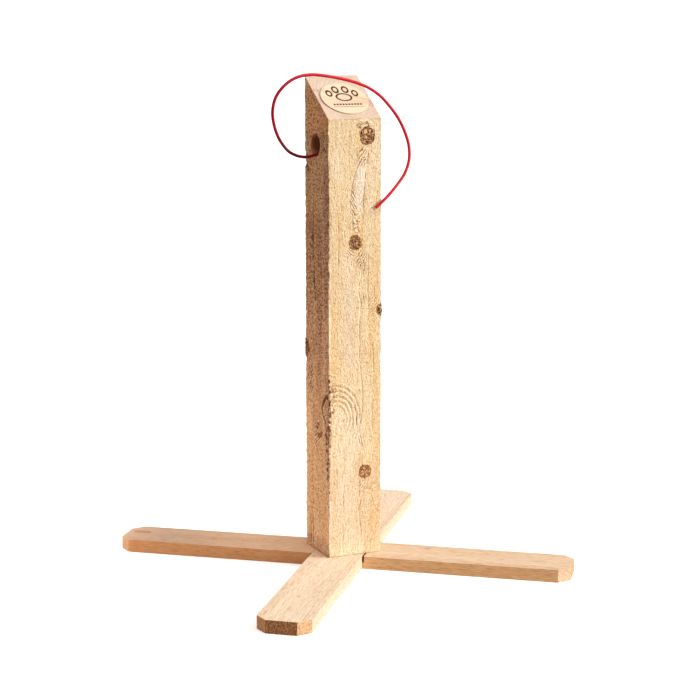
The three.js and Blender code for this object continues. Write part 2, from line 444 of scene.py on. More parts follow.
def paint_torn(n, grain):
    """Pale stripes where the grain is torn, some of them painted highlights along an edge, and ripples with
    a painted highlight on their crests and painted shade in their troughs. Returns their height.
    """
    pale, torn = n.read("pale"), grain.noise((380, 380, 60), 3, 0.65)
    n.mix(pale * torn.rise(0.36, 0.60, 0.25, 0.85), (0.89, 0.785, 0.63))
    wave, rippled = ripple_lines(n)
    # Painted shade in the ripples' troughs and a painted highlight on their crests, over their bump.
    n.shade(rippled * wave.rise(-0.20, -0.75), (0.42, 0.235, 0.105))
    n.mix(0.42 * rippled * wave.rise(0.20, 0.90), (0.97, 0.88, 0.71))
    return pale * torn + 0.55 * wave * rippled


def paint_seams(n, grain, grit):
    """Both sets of cracks. Returns how deep they are."""
    depth = 0.0
    for name in ("seam_a", "seam_b"):
        dark, beside = seam_lines(n, name, grain)
        # Painted highlight on the lip beside each crack.
        n.mix(0.75 * beside, (0.95, 0.84, 0.66))
        n.mix(0.85 * dark, grit.ramp((0, 0.26, 0.12, 0.05), (1, 0.11, 0.045, 0.02)))
        depth = dark + depth
    return depth


def sawn_cedar():
    """Rough-sawn faces: fibrous, flecked, dark at the knots and pale where the grain is torn, with painted
    highlights and shade in places.
    """
    n = material_nodes("sawn_cedar")
    grain, grit, height = n.read("grain", "Vector"), n.read("grit"), n.place().split()[2]
    broad = grain.noise((32, 32, 2.4), 3, 0.6)
    n.colour = broad.ramp((0.33, 0.87, 0.72, 0.485), (0.50, 0.84, 0.665, 0.42), (0.67, 0.81, 0.615, 0.345))
    streak = grain.noise((125, 125, 9)).rise(0.54, 0.70)
    n.shade(streak * (0.35 + 0.60 * grit), (0.86, 0.745, 0.56))
    rings = ring_lines(n.read("ring"), grain.noise((40, 40, 4)))
    n.shade(0.34 * rings * grain.noise((110, 110, 9)).rise(0.35, 0.65), (0.84, 0.68, 0.48))
    n.shade(0.80 * n.read("warm"), (0.98, 0.86, 0.62))
    n.shade(0.90 * n.read("stain"), (0.645, 0.525, 0.545))
    fibre, tuft, relief = paint_fibres(n, grain, grit)

    clump = grain.noise((160, 160, 330), 3, 0.65)
    n.shade(grit * clump.rise(0.52, 0.36), (0.49, 0.335, 0.255))
    n.mix(0.68 * grit * clump.rise(0.54, 0.68), (1.0, 0.80, 0.66))
    # Painted light: near the top of the left face the colour is lifted and warmed.
    n.shade(grit * height.rise(0.730, 0.765), (1.28, 1.12, 1.0))
    relief += paint_torn(n, grain)
    relief += 1.5 * paint_knots(n)
    relief -= paint_seams(n, grain, grit)
    # Painted shade along the post's foot, where it meets the boards, stronger on the left face.
    foot = height.rise(FOOT + 0.0050, FOOT + 0.0010) * (0.3 + 0.6 * grit)
    n.shade(foot * tuft.rise(0.62, 0.42), (0.50, 0.32, 0.19))
    return n.finish(fibre.rise(0.3, 0.7, 0.97, 0.82), relief, 0.0008, specular=0.10)


def sawn_end():
    """The slanted top: a clean cut at a slant across the grain, with the rings as faint arcs."""
    n = material_nodes("sawn_end")
    place = n.place()
    n.colour = place.noise(24).ramp((0.35, 0.67, 0.515, 0.385), (0.65, 0.585, 0.44, 0.33))
    n.shade(0.28 * ring_lines(0.5 * n.read("ring"), place.noise(45)), (0.80, 0.66, 0.52))
    pores = place.noise(700).rise(0.50, 0.70)
    n.shade(0.35 * pores, (0.66, 0.52, 0.40))
    scratch = place.noise((60, 900, 900))
    return n.finish(scratch.rise(0.3, 0.7, 0.72, 0.86), scratch - 0.8 * pores, 0.0004, specular=0.3)


def drilled():
    """Inside the hole: cut across the grain, dark and scored round by the drill."""
    n = material_nodes("drilled")
    streak = n.place().noise((260, 420, 90), 3)
    n.colour = streak.ramp((0.30, 0.44, 0.215, 0.105), (0.70, 0.58, 0.31, 0.16))
    score = n.place().noise((900, 40, 40))
    n.shade(score.rise(0.45, 0.65, 0.0, 0.5), (0.6, 0.42, 0.27))
    return n.finish(streak.rise(0.3, 0.7, 0.95, 0.8), score, 0.0008, specular=0.2)


def board_knots(n, local, pulled, knots):
    """The grain, pulled aside round a board's knots, and each knot's core, rim and redness."""
    marks = []
    for along, across, size, redness in knots:
        offset = local.turned(location=(-along, -across, -BOARD_THICKNESS))
        reach = offset.turned(scale=(1 / (2.2 * size), 1 / size, 0.0)).length()
        x, y, z = pulled.split()
        side = reach.rise(2.4, 0.7, 0.0, size * 0.8) * offset.split()[1].math("SIGN")
        pulled = n.join(x, y - side, z)
        core = (reach + 0.5 * local.noise(260)).rise(1.05, 0.80)
        marks.append((core, reach.rise(0.45, 0.75) * core, redness))
    return pulled, marks


def paint_cuts(n, local, angle, tints):
    """How a board's colour differs from part to part, partly as painted shade, and its end grain. Returns
    the end grain's height.
    """
    half_tint, half_side_shade, outer_end_shade, side_tint, corner_tint, end_tint = tints
    x, _, z = local.split()
    normal = n.add("NewGeometry", {}, "True Normal").turned(rotation=(0, 0, -angle))
    square, aside = (abs(part) for part in normal.split()[:2])
    end, cut, sideways = square.rise(0.75, 0.95), square.rise(0.30, 0.68), aside.rise(0.80, 0.95)
    # On the lower board the half below zero is its left leg, in the post's shadow: its tint, its sides'
    # tint and its outer end's tint are painted shade, the first partly the leg's own tone.
    half = x.rise(0.02, -0.08)
    n.shade(half, half_tint)
    n.shade(half * sideways, half_side_shade)
    n.shade(x.rise(-0.12, -0.36) * (1 - sideways), outer_end_shade)
    n.shade(sideways, side_tint)
    n.shade(cut, corner_tint)
    n.shade(end, end_tint)

    # Ends and corner cuts show end grain, which is darker the squarer it is to the board.
    pores = local.noise(330, 2, 0.65)
    n.shade(cut * (0.40 + 0.45 * end) * pores.rise(0.48, 0.62), (0.45, 0.31, 0.20))
    n.mix(end * pores.rise(0.46, 0.36, 0.0, 0.40), (0.70, 0.50, 0.32))

    # Painted shade deep in the lap joint, where the upper board's sides go down into the notch.
    notch_edge, lap = BOARD_WIDTH / 2 + NOTCH_PLAY, BOARD_THICKNESS / 2
    deep = abs(x).rise(notch_edge + 0.0012, notch_edge) * z.rise(lap - 0.0005, lap + 0.0005)
    n.shade(sideways * deep, (0.34, 0.17, 0.08))
    return cut * pores


def planed_cedar(name, angle, pith, knots, tones, tints):
    """A planed board. pith is its growth rings' middle, across and up; knots are (along, across, size,
    redness); tints are how the colour differs on its half below zero, that half's sides, its outer
    end, all sides, corner cuts and ends. On the lower board the first three are painted shade on the
    left leg, in the post's shadow, the first partly the leg's own tone."""
    n = material_nodes(name)
    local = n.place().turned(rotation=(0, 0, -angle))
    x, y, z = local.split()
    moved = n.join(x, y, z + 0.007 * local.noise((2.2, 9, 9)))
    pulled, marks = board_knots(n, local, moved, knots)
    _, across, up = pulled.split()
    radius = n.join(0.0, across - pith[0], up - pith[1]).length()

    broad = pulled.noise((1.5, 34, 34), 3)
    n.colour = broad.ramp((0.32, *tones[0]), (0.50, *tones[1]), (0.68, *tones[2]))
    n.shade(0.42 * ring_lines(radius, pulled.noise((5, 60, 60))), (0.84, 0.64, 0.45))
    fibre = pulled.noise((26, 900, 900), 3, 0.6)
    n.shade(fibre.rise(0.60, 0.34, 0.0, 0.42), (0.72, 0.56, 0.42))
    dashes = pulled.noise((70, 520, 520))
    dash = dashes.rise(0.56, 0.68)
    n.shade(0.60 * dash, (0.70, 0.50, 0.33))
    n.mix(dashes.rise(0.47, 0.36, 0.0, 0.22), (0.98, 0.86, 0.69))
    for core, rim, redness in marks:
        n.shade(0.8 * core, (0.74, 0.50 + 0.05 * redness, 0.38 + 0.20 * redness))
        n.mix(0.75 * rim, (0.22, 0.085, 0.045))
    relief = fibre + 2.0 * paint_cuts(n, local, angle, tints) - 0.4 * dash
    return n.finish(fibre.rise(0.3, 0.7, 0.66, 0.80), relief, 0.00035, specular=0.3)


def plaque_wood():
    """The plaque: sanded, with a burnt rim and a burnt-in paw print over a row of dots and a rule."""
    n = material_nodes("plaque_wood")
    place = n.read("plaque", "Vector")
    across, up, _ = place.split()
    n.colour = place.noise((16, 260, 260), 3).ramp((0.35, 0.815, 0.615, 0.43), (0.65, 0.76, 0.55, 0.37))
    fibre = place.noise((60, 1300, 1300))
    n.shade(fibre.rise(0.60, 0.35, 0.0, 0.25), (0.75, 0.62, 0.48))

    wander = place.noise(500)
    edge = fill = 0.0
    for x, y, wide, high, tilt in PAW_PADS:
        moved = place.turned(location=(-x, -y, 0))
        leant = moved.turned(rotation=(0, 0, math.radians(tilt)), scale=(1 / wide, 1 / high, 0.0))
        reach = leant.length() + 0.10 * wander
        inside = reach.rise(1.09, 1.01)
        hollow = reach.rise(1.01 - PAW_LINE / wide, 0.93 - PAW_LINE / wide)
        edge, fill = (inside - hollow).greater(edge), inside.greater(fill)
    part = abs((across / DOT_PITCH).math("FRACT") - 0.5)
    dots = abs(up - DOTS_UP).rise(0.0022, 0.0017) * part.rise(0.40, 0.32)
    rule = (abs(up - RULE_UP) + 0.0004 * wander).rise(0.0013, 0.0008)
    rule = dots.greater(0.6 * rule) * abs(across).rise(RULE_REACH + 0.0005, RULE_REACH)
    burnt = edge.greater(rule)
    n.mix(0.14 * fill, (0.42, 0.24, 0.11))
    n.mix(0.97 * burnt, (0.055, 0.018, 0.007))

    out = place.turned(scale=(1, 1, 0)).length()
    singe = (out + 0.0006 * wander).rise(PLAQUE_RADIUS - 0.0006, PLAQUE_RADIUS + 0.0003)
    n.mix(0.30 * singe, (0.45, 0.28, 0.14))
    return n.finish(burnt.rise(0.0, 1.0, 0.62, 0.9), fibre - 1.5 * burnt, 0.0003, specular=0.12)


def red_plastic():
    """The wire's jacket: extruded, softly glossy, with fine draw lines, handling dullness, and painted
    shade on the stretch next to the hole and on the loop's left side."""
    n = material_nodes("red_plastic")
    place = n.place()
    cloud, scuff = place.noise(60), place.noise(900)
    n.colour = cloud.ramp((0.3, 0.52, 0.002, 0.014), (0.7, 0.60, 0.004, 0.022))
    n.shade(scuff.rise(0.60, 0.75, 0.0, 0.25), (0.75, 0.6, 0.6))
    x, _, z = place.split()
    # Painted shade: darker on the low stretch next to the hole, and towards the loop's left side.
    n.shade(0.95 * z.rise(0.765, 0.712) * x.rise(-0.030, -0.055), (0.34, 0.20, 0.35))
    n.shade(x.rise(-0.070, -0.110, 0.0, 0.4), (0.45, 0.80, 1.0))
    return n.finish(cloud.rise(0.3, 0.7, 0.40, 0.52), scuff, 0.00008, specular=0.22)


def spring_steel():
    """The wire's core: drawn steel, bright where it was cut."""
    n = material_nodes("spring_steel")
    cloud = n.place().noise(500, 3)
    n.colour = cloud.ramp((0.3, 0.20, 0.18, 0.165), (0.7, 0.38, 0.355, 0.33))
    return n.finish(cloud.rise(0.3, 0.7, 0.32, 0.5), cloud, 0.00005, metallic=0.9)


def zinc_steel():
    """The screws: yellow zinc, rubbed by the driver."""
    n = material_nodes("zinc_steel")
    cloud = n.place().noise(220, 3)
    n.colour = cloud.ramp((0.3, 0.50, 0.40, 0.20), (0.55, 0.66, 0.58, 0.38), (0.8, 0.70, 0.66, 0.52))
    rub = n.place().noise((1500, 1500, 90))
    return n.finish(rub.rise(0.3, 0.7, 0.26, 0.46), rub, 0.00006, metallic=0.95)


# ---- the post's marks ----
# Across is X on the front and back faces and Y on the left and right ones; up is Z.

FACES = {
    "front": ((0, -1, 0), 0),
    "right": ((1, 0, 0), 1),
    "back": ((0, 1, 0), 0),
    "left": ((-1, 0, 0), 1),
}

# Knots on each face: across, up, half width, half height, how far it stands out, how dark
KNOTS = {"front": [
    (0.0225, 0.7385, 0.0142, 0.0155, 0.0006, 1), (0.017, 0.7575, 0.0135, 0.0085, 0.0006, 0.58),
    (0.001, 0.562, 0.0122, 0.0125, 0.0004, 1.2), (0.0036, 0.594, 0.008, 0.017, 0.0004, 0.59),
    (0.048, 0.447, 0.0085, 0.01, 0.0014, 1), (0.019, 0.168, 0.0116, 0.012, 0.0004, 0.8),
    (-0.041, 0.308, 0.0085, 0.013, 0.0004, 0.55), (-0.044, 0.28, 0.006, 0.01, 0.0004, 0.55),
], "left": [
    (0.045, 0.373, 0.012, 0.016, 0.0012, 0.78),
], "back": [
    (-0.02, 0.51, 0.015, 0.0165, 0.0006, 1), (0.024, 0.29, 0.012, 0.012, 0.0005, 0.9),
    (-0.006, 0.72, 0.01, 0.011, 0.0005, 0.95), (-0.048, 0.376, 0.008, 0.014, 0.0016, 0.9),
], "right": [
    (-0.047, 0.447, 0.011, 0.0105, 0.0014, 1), (0.013, 0.64, 0.014, 0.015, 0.0006, 0.95),
    (-0.01, 0.235, 0.016, 0.014, 0.0006, 0.9),
]}
BURL_BELOW = 0.6  # knots less dark than this are burls

# Rough, chipped patches: across, up, half width, half height, depth, how dark
TORN = {"front": [
    (-0.047, 0.312, 0.011, 0.04, 0.0014, 0.62), (-0.048, 0.235, 0.0065, 0.04, 0.0014, 0.62),
    (-0.048, 0.15, 0.0034, 0.07, 0.0008, 0.45),
], "left": [
    (-0.044, 0.285, 0.015, 0.048, 0.0022, 1.1), (-0.04, 0.23, 0.019, 0.03, 0.0018, 0.95),
    (-0.047, 0.16, 0.01, 0.08, 0.0012, 0.9), (-0.0475, 0.6, 0.009, 0.17, 0.0012, 0.75),
    (0.045, 0.696, 0.012, 0.017, 0.0018, 0.85), (0.048, 0.2, 0.005, 0.14, 0.0008, 0.45),
    (-0.033, 0.715, 0.013, 0.006, 0.001, 0.75), (0.03, 0.67, 0.01, 0.02, 0.001, 0.6),
], "back": [
    (-0.047, 0.696, 0.006, 0.016, 0.0016, 0.8),
], "right": [
    (0.047, 0.3, 0.006, 0.08, 0.0012, 0.5),
]}

# Rippled grain: across, up, half width, half height, slant of the ridges in degrees, pitch, strength
RIPPLES = {"front": [
    (0.014, 0.704, 0.014, 0.022, 54, 0.0048, 1), (-0.003, 0.63, 0.0085, 0.033, -58, 0.004, 0.9),
    (0.013, 0.635, 0.006, 0.038, 66, 0.004, 0.55), (0.01, 0.533, 0.014, 0.021, 54, 0.0048, 1),
    (-0.009, 0.54, 0.009, 0.015, -46, 0.0046, 0.75), (0.033, 0.452, 0.011, 0.026, 40, 0.0042, 0.5),
    (0.013, 0.142, 0.0085, 0.019, 58, 0.0046, 0.55),
], "left": [
    (0, 0.226, 0.018, 0.026, -38, 0.0056, 1), (0.029, 0.328, 0.02, 0.04, -52, 0.0066, 0.85),
], "back": [
    (-0.01, 0.48, 0.011, 0.02, 50, 0.0048, 0.9),
], "right": [
    (0.005, 0.61, 0.01, 0.02, -50, 0.0048, 0.9),
]}

# Fine cracks, in two sets, so that neighbours don't meet: strength, how many times as wide as a fine one,
# how strong the painted highlight on the wood to the left of the crack is, then the points that it runs
# through
SEAMS_A = {"front": [
    (0.62, 1.1, 1, [(0.016, 0.525), (0.0117, 0.507), (0.006, 0.482), (0.0117, 0.462), (0.0106, 0.441),
        (0.0083, 0.418), (0.0095, 0.388), (0.0084, 0.367), (0.0119, 0.334), (0.015, 0.3), (0.0155, 0.286),
        (0.0108, 0.256), (0.0085, 0.237), (0.0121, 0.223), (0.0156, 0.206), (0.0191, 0.2)]),
    (0.7, 1.1, 0.5, [(0.0251, 0.711), (0.0217, 0.69), (0.0183, 0.67), (0.0161, 0.639), (0.0139, 0.597)]),
    (0.55, 1.2, 0.4, [(0.0192, 0.137), (0.0122, 0.122), (0.0075, 0.101), (0.0099, 0.078), (0.0123, 0.056),
        (0.011, 0.03)]),
    (0.45, 1.2, 0.6, [(-0.0306, 0.6), (-0.029, 0.56), (-0.031, 0.52)]),
], "left": [
    (1, 2.4, 0, [(0.015, 0.625), (0.0145, 0.596), (0.0121, 0.575), (0.016, 0.557), (0.0124, 0.537),
        (0.0099, 0.523), (0.0126, 0.5), (0.0129, 0.485), (0.005, 0.472), (0.006, 0.44)]),
    (1, 2.4, 0, [(-0.036, 0.3), (-0.02, 0.282), (-0.0252, 0.266), (-0.034, 0.256)]),
    (0.8, 2.4, 0.3, [(0.0157, 0.2), (0.0187, 0.157), (0.0164, 0.113), (0.02, 0.078), (0.0171, 0.024)]),
], "back": [
    (0.9, 1.4, 0.6, [(0.01, 0.7), (0.008, 0.6), (0.012, 0.52), (0.009, 0.4)]),
], "right": [
    (0.9, 1.4, 0.6, [(0.025, 0.5), (0.023, 0.4), (0.026, 0.32)]),
]}
SEAMS_B = {"front": [
    (0.7, 1.2, 0, [(0.019, 0.53), (0.0152, 0.504), (0.014, 0.481), (0.017, 0.46)]),
    (0.5, 1.2, 0.5, [(0.0255, 0.545), (0.0245, 0.514), (0.0233, 0.481), (0.026, 0.45)]),
    (0.6, 1.2, 0.6, [(0.004, 0.275), (0.0027, 0.255), (0.0074, 0.228), (0.0121, 0.208)]),
    (0.6, 1.2, 0.6, [(0.0092, 0.699), (-0.001, 0.672), (-0.006, 0.65), (-0.0088, 0.629),
        (-0.0056, 0.608)]),
    (0.45, 1.2, 0.3, [(0.033, 0.4), (0.035, 0.34), (0.032, 0.28), (0.034, 0.23)]),
    (0.4, 1.2, 0.3, [(-0.02, 0.13), (-0.023, 0.08), (-0.021, 0.035)]),
], "left": [
    (0.9, 2.4, 0, [(-0.018, 0.722), (-0.03, 0.717), (-0.042, 0.711)]),
    (0.8, 2.4, 0, [(-0.02, 0.52), (-0.0215, 0.47), (-0.019, 0.43)]),
    (0.9, 2.4, 0, [(0.028, 0.11), (0.03, 0.07), (0.027, 0.026)]),
], "right": [
    (0.8, 1.4, 0.5, [(-0.02, 0.2), (-0.022, 0.12), (-0.019, 0.03)]),
]}

# Stripes of colour, some pale ones painted highlights, and dark crevices: half width, strength, then the
# points that each runs through
PALE_STRIPES = {"front": [
    (0.0085, 1, [(0.017, 0.7), (0.01, 0.675), (0.006, 0.64), (0.005, 0.6)]),
    # These two are painted highlights along the front-left edge.
    (0.0022, 0.9, [(-0.0472, 0.54), (-0.047, 0.35)]), (0.0022, 0.9, [(-0.0472, 0.13), (-0.047, 0.025)]),
    (0.015, 0.4, [(-0.03, 0.29), (-0.022, 0.235)]), (0.03, 0.3, [(-0.015, 0.28), (-0.01, -0.04)]),
    (0.011, 0.35, [(-0.012, 0.56), (-0.008, 0.33)]), (0.009, 0.45, [(-0.036, 0.72), (-0.03, 0.66)]),
    (0.006, 0.4, [(0.036, 0.76), (0.04, 0.7)]),
], "back": [
    (0.008, 0.8, [(-0.012, 0.47), (-0.008, 0.42)]),
], "right": [
    (0.008, 0.8, [(0.008, 0.6), (0.01, 0.54)]),
]}
WARM_STRIPES = {"front": [
    (0.006, 0.6, [(0.04, 0.7), (0.038, 0.56), (0.035, 0.4), (0.039, 0.25), (0.04, 0.1)]),
    (0.003, 1, [(0.029, 0.2), (0.031, 0.13), (0.03, 0.04)]),
    (0.003, 1, [(0.028, 0.53), (0.025, 0.48), (0.03, 0.42), (0.029, 0.33)]),
    (0.007, 0.8, [(-0.03, 0.62), (-0.029, 0.54)]), (0.008, 0.7, [(0.038, 0.12), (0.036, 0.03)]),
    (0.007, 0.6, [(-0.04, 0.48), (-0.038, 0.33)]),
], "left": [
    (0.01, 1, [(-0.027, 0.16), (-0.03, 0.03)]), (0.012, 0.8, [(0.033, 0.8), (0.034, 0.48)]),
], "back": [
    (0.01, 0.8, [(0.03, 0.6), (0.026, 0.3)]),
], "right": [
    (0.009, 0.8, [(0.03, 0.7), (0.032, 0.3)]),
]}
STAINS = {"front": [
    (0.011, 0.3, [(-0.012, 0.52), (-0.01, 0.34)]), (0.08, 0.3, [(-0.1, 0.11), (0.1, 0.11)]),
], "left": [
    (0.015, 1, [(-0.041, 0.7), (-0.043, 0.6), (-0.04, 0.4)]),
    (0.019, 1, [(-0.01, 0.62), (-0.011, 0.52), (-0.006, 0.24)]),
    (0.02, 0.85, [(0.025, 0.62), (0.03, 0.52), (0.028, 0.24)]), (0.02, 0.95, [(-0.1, 0.03), (0.1, 0.03)]),
    (0.06, 0.32, [(0, 0.24), (0, 0.04)]), (0.03, 0.75, [(-0.025, 0.262), (0.025, 0.248)]),
    (0.025, 1, [(-0.025, 0.395), (0.025, 0.385)]), (0.011, 1, [(0.06, 0.582), (-0.02, 0.58)]),
    (0.011, 0.75, [(-0.042, 0.43), (-0.042, 0.15)]), (0.005, 0.5, [(0.046, 0.42), (0.046, 0.33)]),
], "back": [
    (0.014, 0.4, [(0, 0.76), (0.004, 0.42)]),
], "right": [
    (0.014, 0.35, [(-0.025, 0.7), (-0.022, 0.32)]),
]}
CREVICES = {"front": [
    (0.0017, 0.9, [(-0.0478, 0.335), (-0.0462, 0.318), (-0.0452, 0.3), (-0.0474, 0.286), (-0.0462, 0.268),
        (-0.0478, 0.25), (-0.047, 0.238)]),
    (0.0012, 0.6, [(-0.048, 0.24), (-0.0474, 0.205), (-0.0482, 0.16)]),
    (0.0012, 0.8, [(-0.042, 0.288), (-0.0405, 0.28), (-0.0425, 0.274)]),
], "left": [
    (0.004, 0.95, [(-0.044, 0.304), (-0.033, 0.297), (-0.021, 0.286), (-0.0225, 0.272), (-0.0275, 0.262),
        (-0.04, 0.252)]),
    (0.005, 0.8, [(-0.046, 0.252), (-0.038, 0.24), (-0.035, 0.222), (-0.04, 0.205)]),
    (0.004, 0.6, [(-0.044, 0.205), (-0.041, 0.18), (-0.044, 0.155)]),
    (0.006, 0.5, [(-0.006, 0.252), (0.002, 0.238), (-0.008, 0.228), (-0.022, 0.236)]),
    (0.0034, 0.9, [(0.047, 0.39), (0.04, 0.378), (0.045, 0.36)]),
    (0.0034, 0.9, [(0.05, 0.697), (0.043, 0.688), (0.035, 0.677)]),
    (0.0026, 0.9, [(0.05, 0.71), (0.044, 0.708)]),
    (0.0026, 0.8, [(-0.024, 0.724), (-0.033, 0.716), (-0.043, 0.71)]),
    (0.0028, 0.85, [(0.0215, 0.585), (0.016, 0.555), (0.012, 0.52)]),
    (0.0024, 0.7, [(0.012, 0.519), (0.0105, 0.5), (0.01, 0.478)]),
], "back": [
    (0.002, 0.9, [(-0.048, 0.392), (-0.044, 0.376), (-0.048, 0.36)]),
]}

# The swirl round the big buried knot at the front left edge
SWIRL_ACROSS, SWIRL_UP = -0.034, 0.262
SWIRL_STRETCH = 1.35  # its rings are this much taller than wide
SWIRL_PITCH = 0.0064
SWIRL_FROM, SWIRL_TO = 0.014, 0.051
SWIRL_DISORDER, RIPPLE_DISORDER = 0.6, 1.7  # how many pitches the ridges stray

# Torn places on the upright edges: X and Y signs, up, half height, depth
NICKS = [
    (-1, 1, 0.705, 0.006, 0.0035), (-1, 1, 0.688, 0.005, 0.0026), (-1, 1, 0.35, 0.006, 0.0024),
    (-1, 1, 0.15, 0.008, 0.002), (-1, -1, 0.335, 0.008, 0.0024), (-1, -1, 0.312, 0.006, 0.003),
    (-1, -1, 0.296, 0.006, 0.0034), (-1, -1, 0.262, 0.007, 0.0034), (-1, -1, 0.238, 0.005, 0.0038),
    (-1, -1, 0.215, 0.007, 0.0028), (-1, -1, 0.505, 0.006, 0.0018), (1, 1, 0.56, 0.01, 0.0028),
    (1, 1, 0.18, 0.008, 0.002), (1, -1, 0.64, 0.006, 0.0012),
]
EDGE_RADIUS = 0.0012
RAGGED = 0.0011  # how far the upright edges' torn fibres stray
GRAIN_PARTS = 0.55  # how far, at most, the grain is pushed aside above and below a knot

PITH = (0.012, 0.006)  # the middle of the growth rings, in X and Y

# Paw print on the plaque: across, up, half width, half height, tilt in degrees
PAW_PADS = [
    (0, 0.003, 0.015, 0.0108, 0), (-0.0235, 0.0135, 0.006, 0.0088, -26),
    (-0.009, 0.0235, 0.0064, 0.0095, -9), (0.009, 0.0235, 0.0064, 0.0095, 9),
    (0.0235, 0.0135, 0.006, 0.0088, 26),
]
PAW_LINE = 0.0023
DOTS_UP, DOT_PITCH = -0.0165, 0.0053
RULE_UP, RULE_REACH = -0.0225, 0.0265


def beside_line(u, z, points):
    """How far each place is from a broken line, more than 0 to its right as it runs down, and how far
    along the line that is, from 0 to 1."""
    best, where, side = np.full(len(u), np.inf), np.zeros(len(u)), np.zeros(len(u))
    for i, ((u0, z0), (u1, z1)) in enumerate(zip(points, points[1:])):
        du, dz = u1 - u0, z1 - z0
        t = np.clip(((u - u0) * du + (z - z0) * dz) / (du * du + dz * dz), 0, 1)
        far = np.hypot(u - u0 - t * du, z - z0 - t * dz)
        nearer = far < best
        best[nearer] = far[nearer]
        where[nearer] = ((i + t) / (len(points) - 1))[nearer]
        side[nearer] = np.sign((z - z0) * du - (u - u0) * dz)[nearer]
    return best * side, where


def near_line(side, part, outer, inner, fade):
    """1 within inner of a line, 0 past outer from it, and fading out at its ends."""
    return rise(np.abs(side), outer, inner) * rise(part, 0, fade) * rise(part, 1, 1 - fade)


SHARES = ("knot", "burl", "crevice", "pale", "warm", "stain")
LINES = ("seam_a", "seam_b", "ripple")


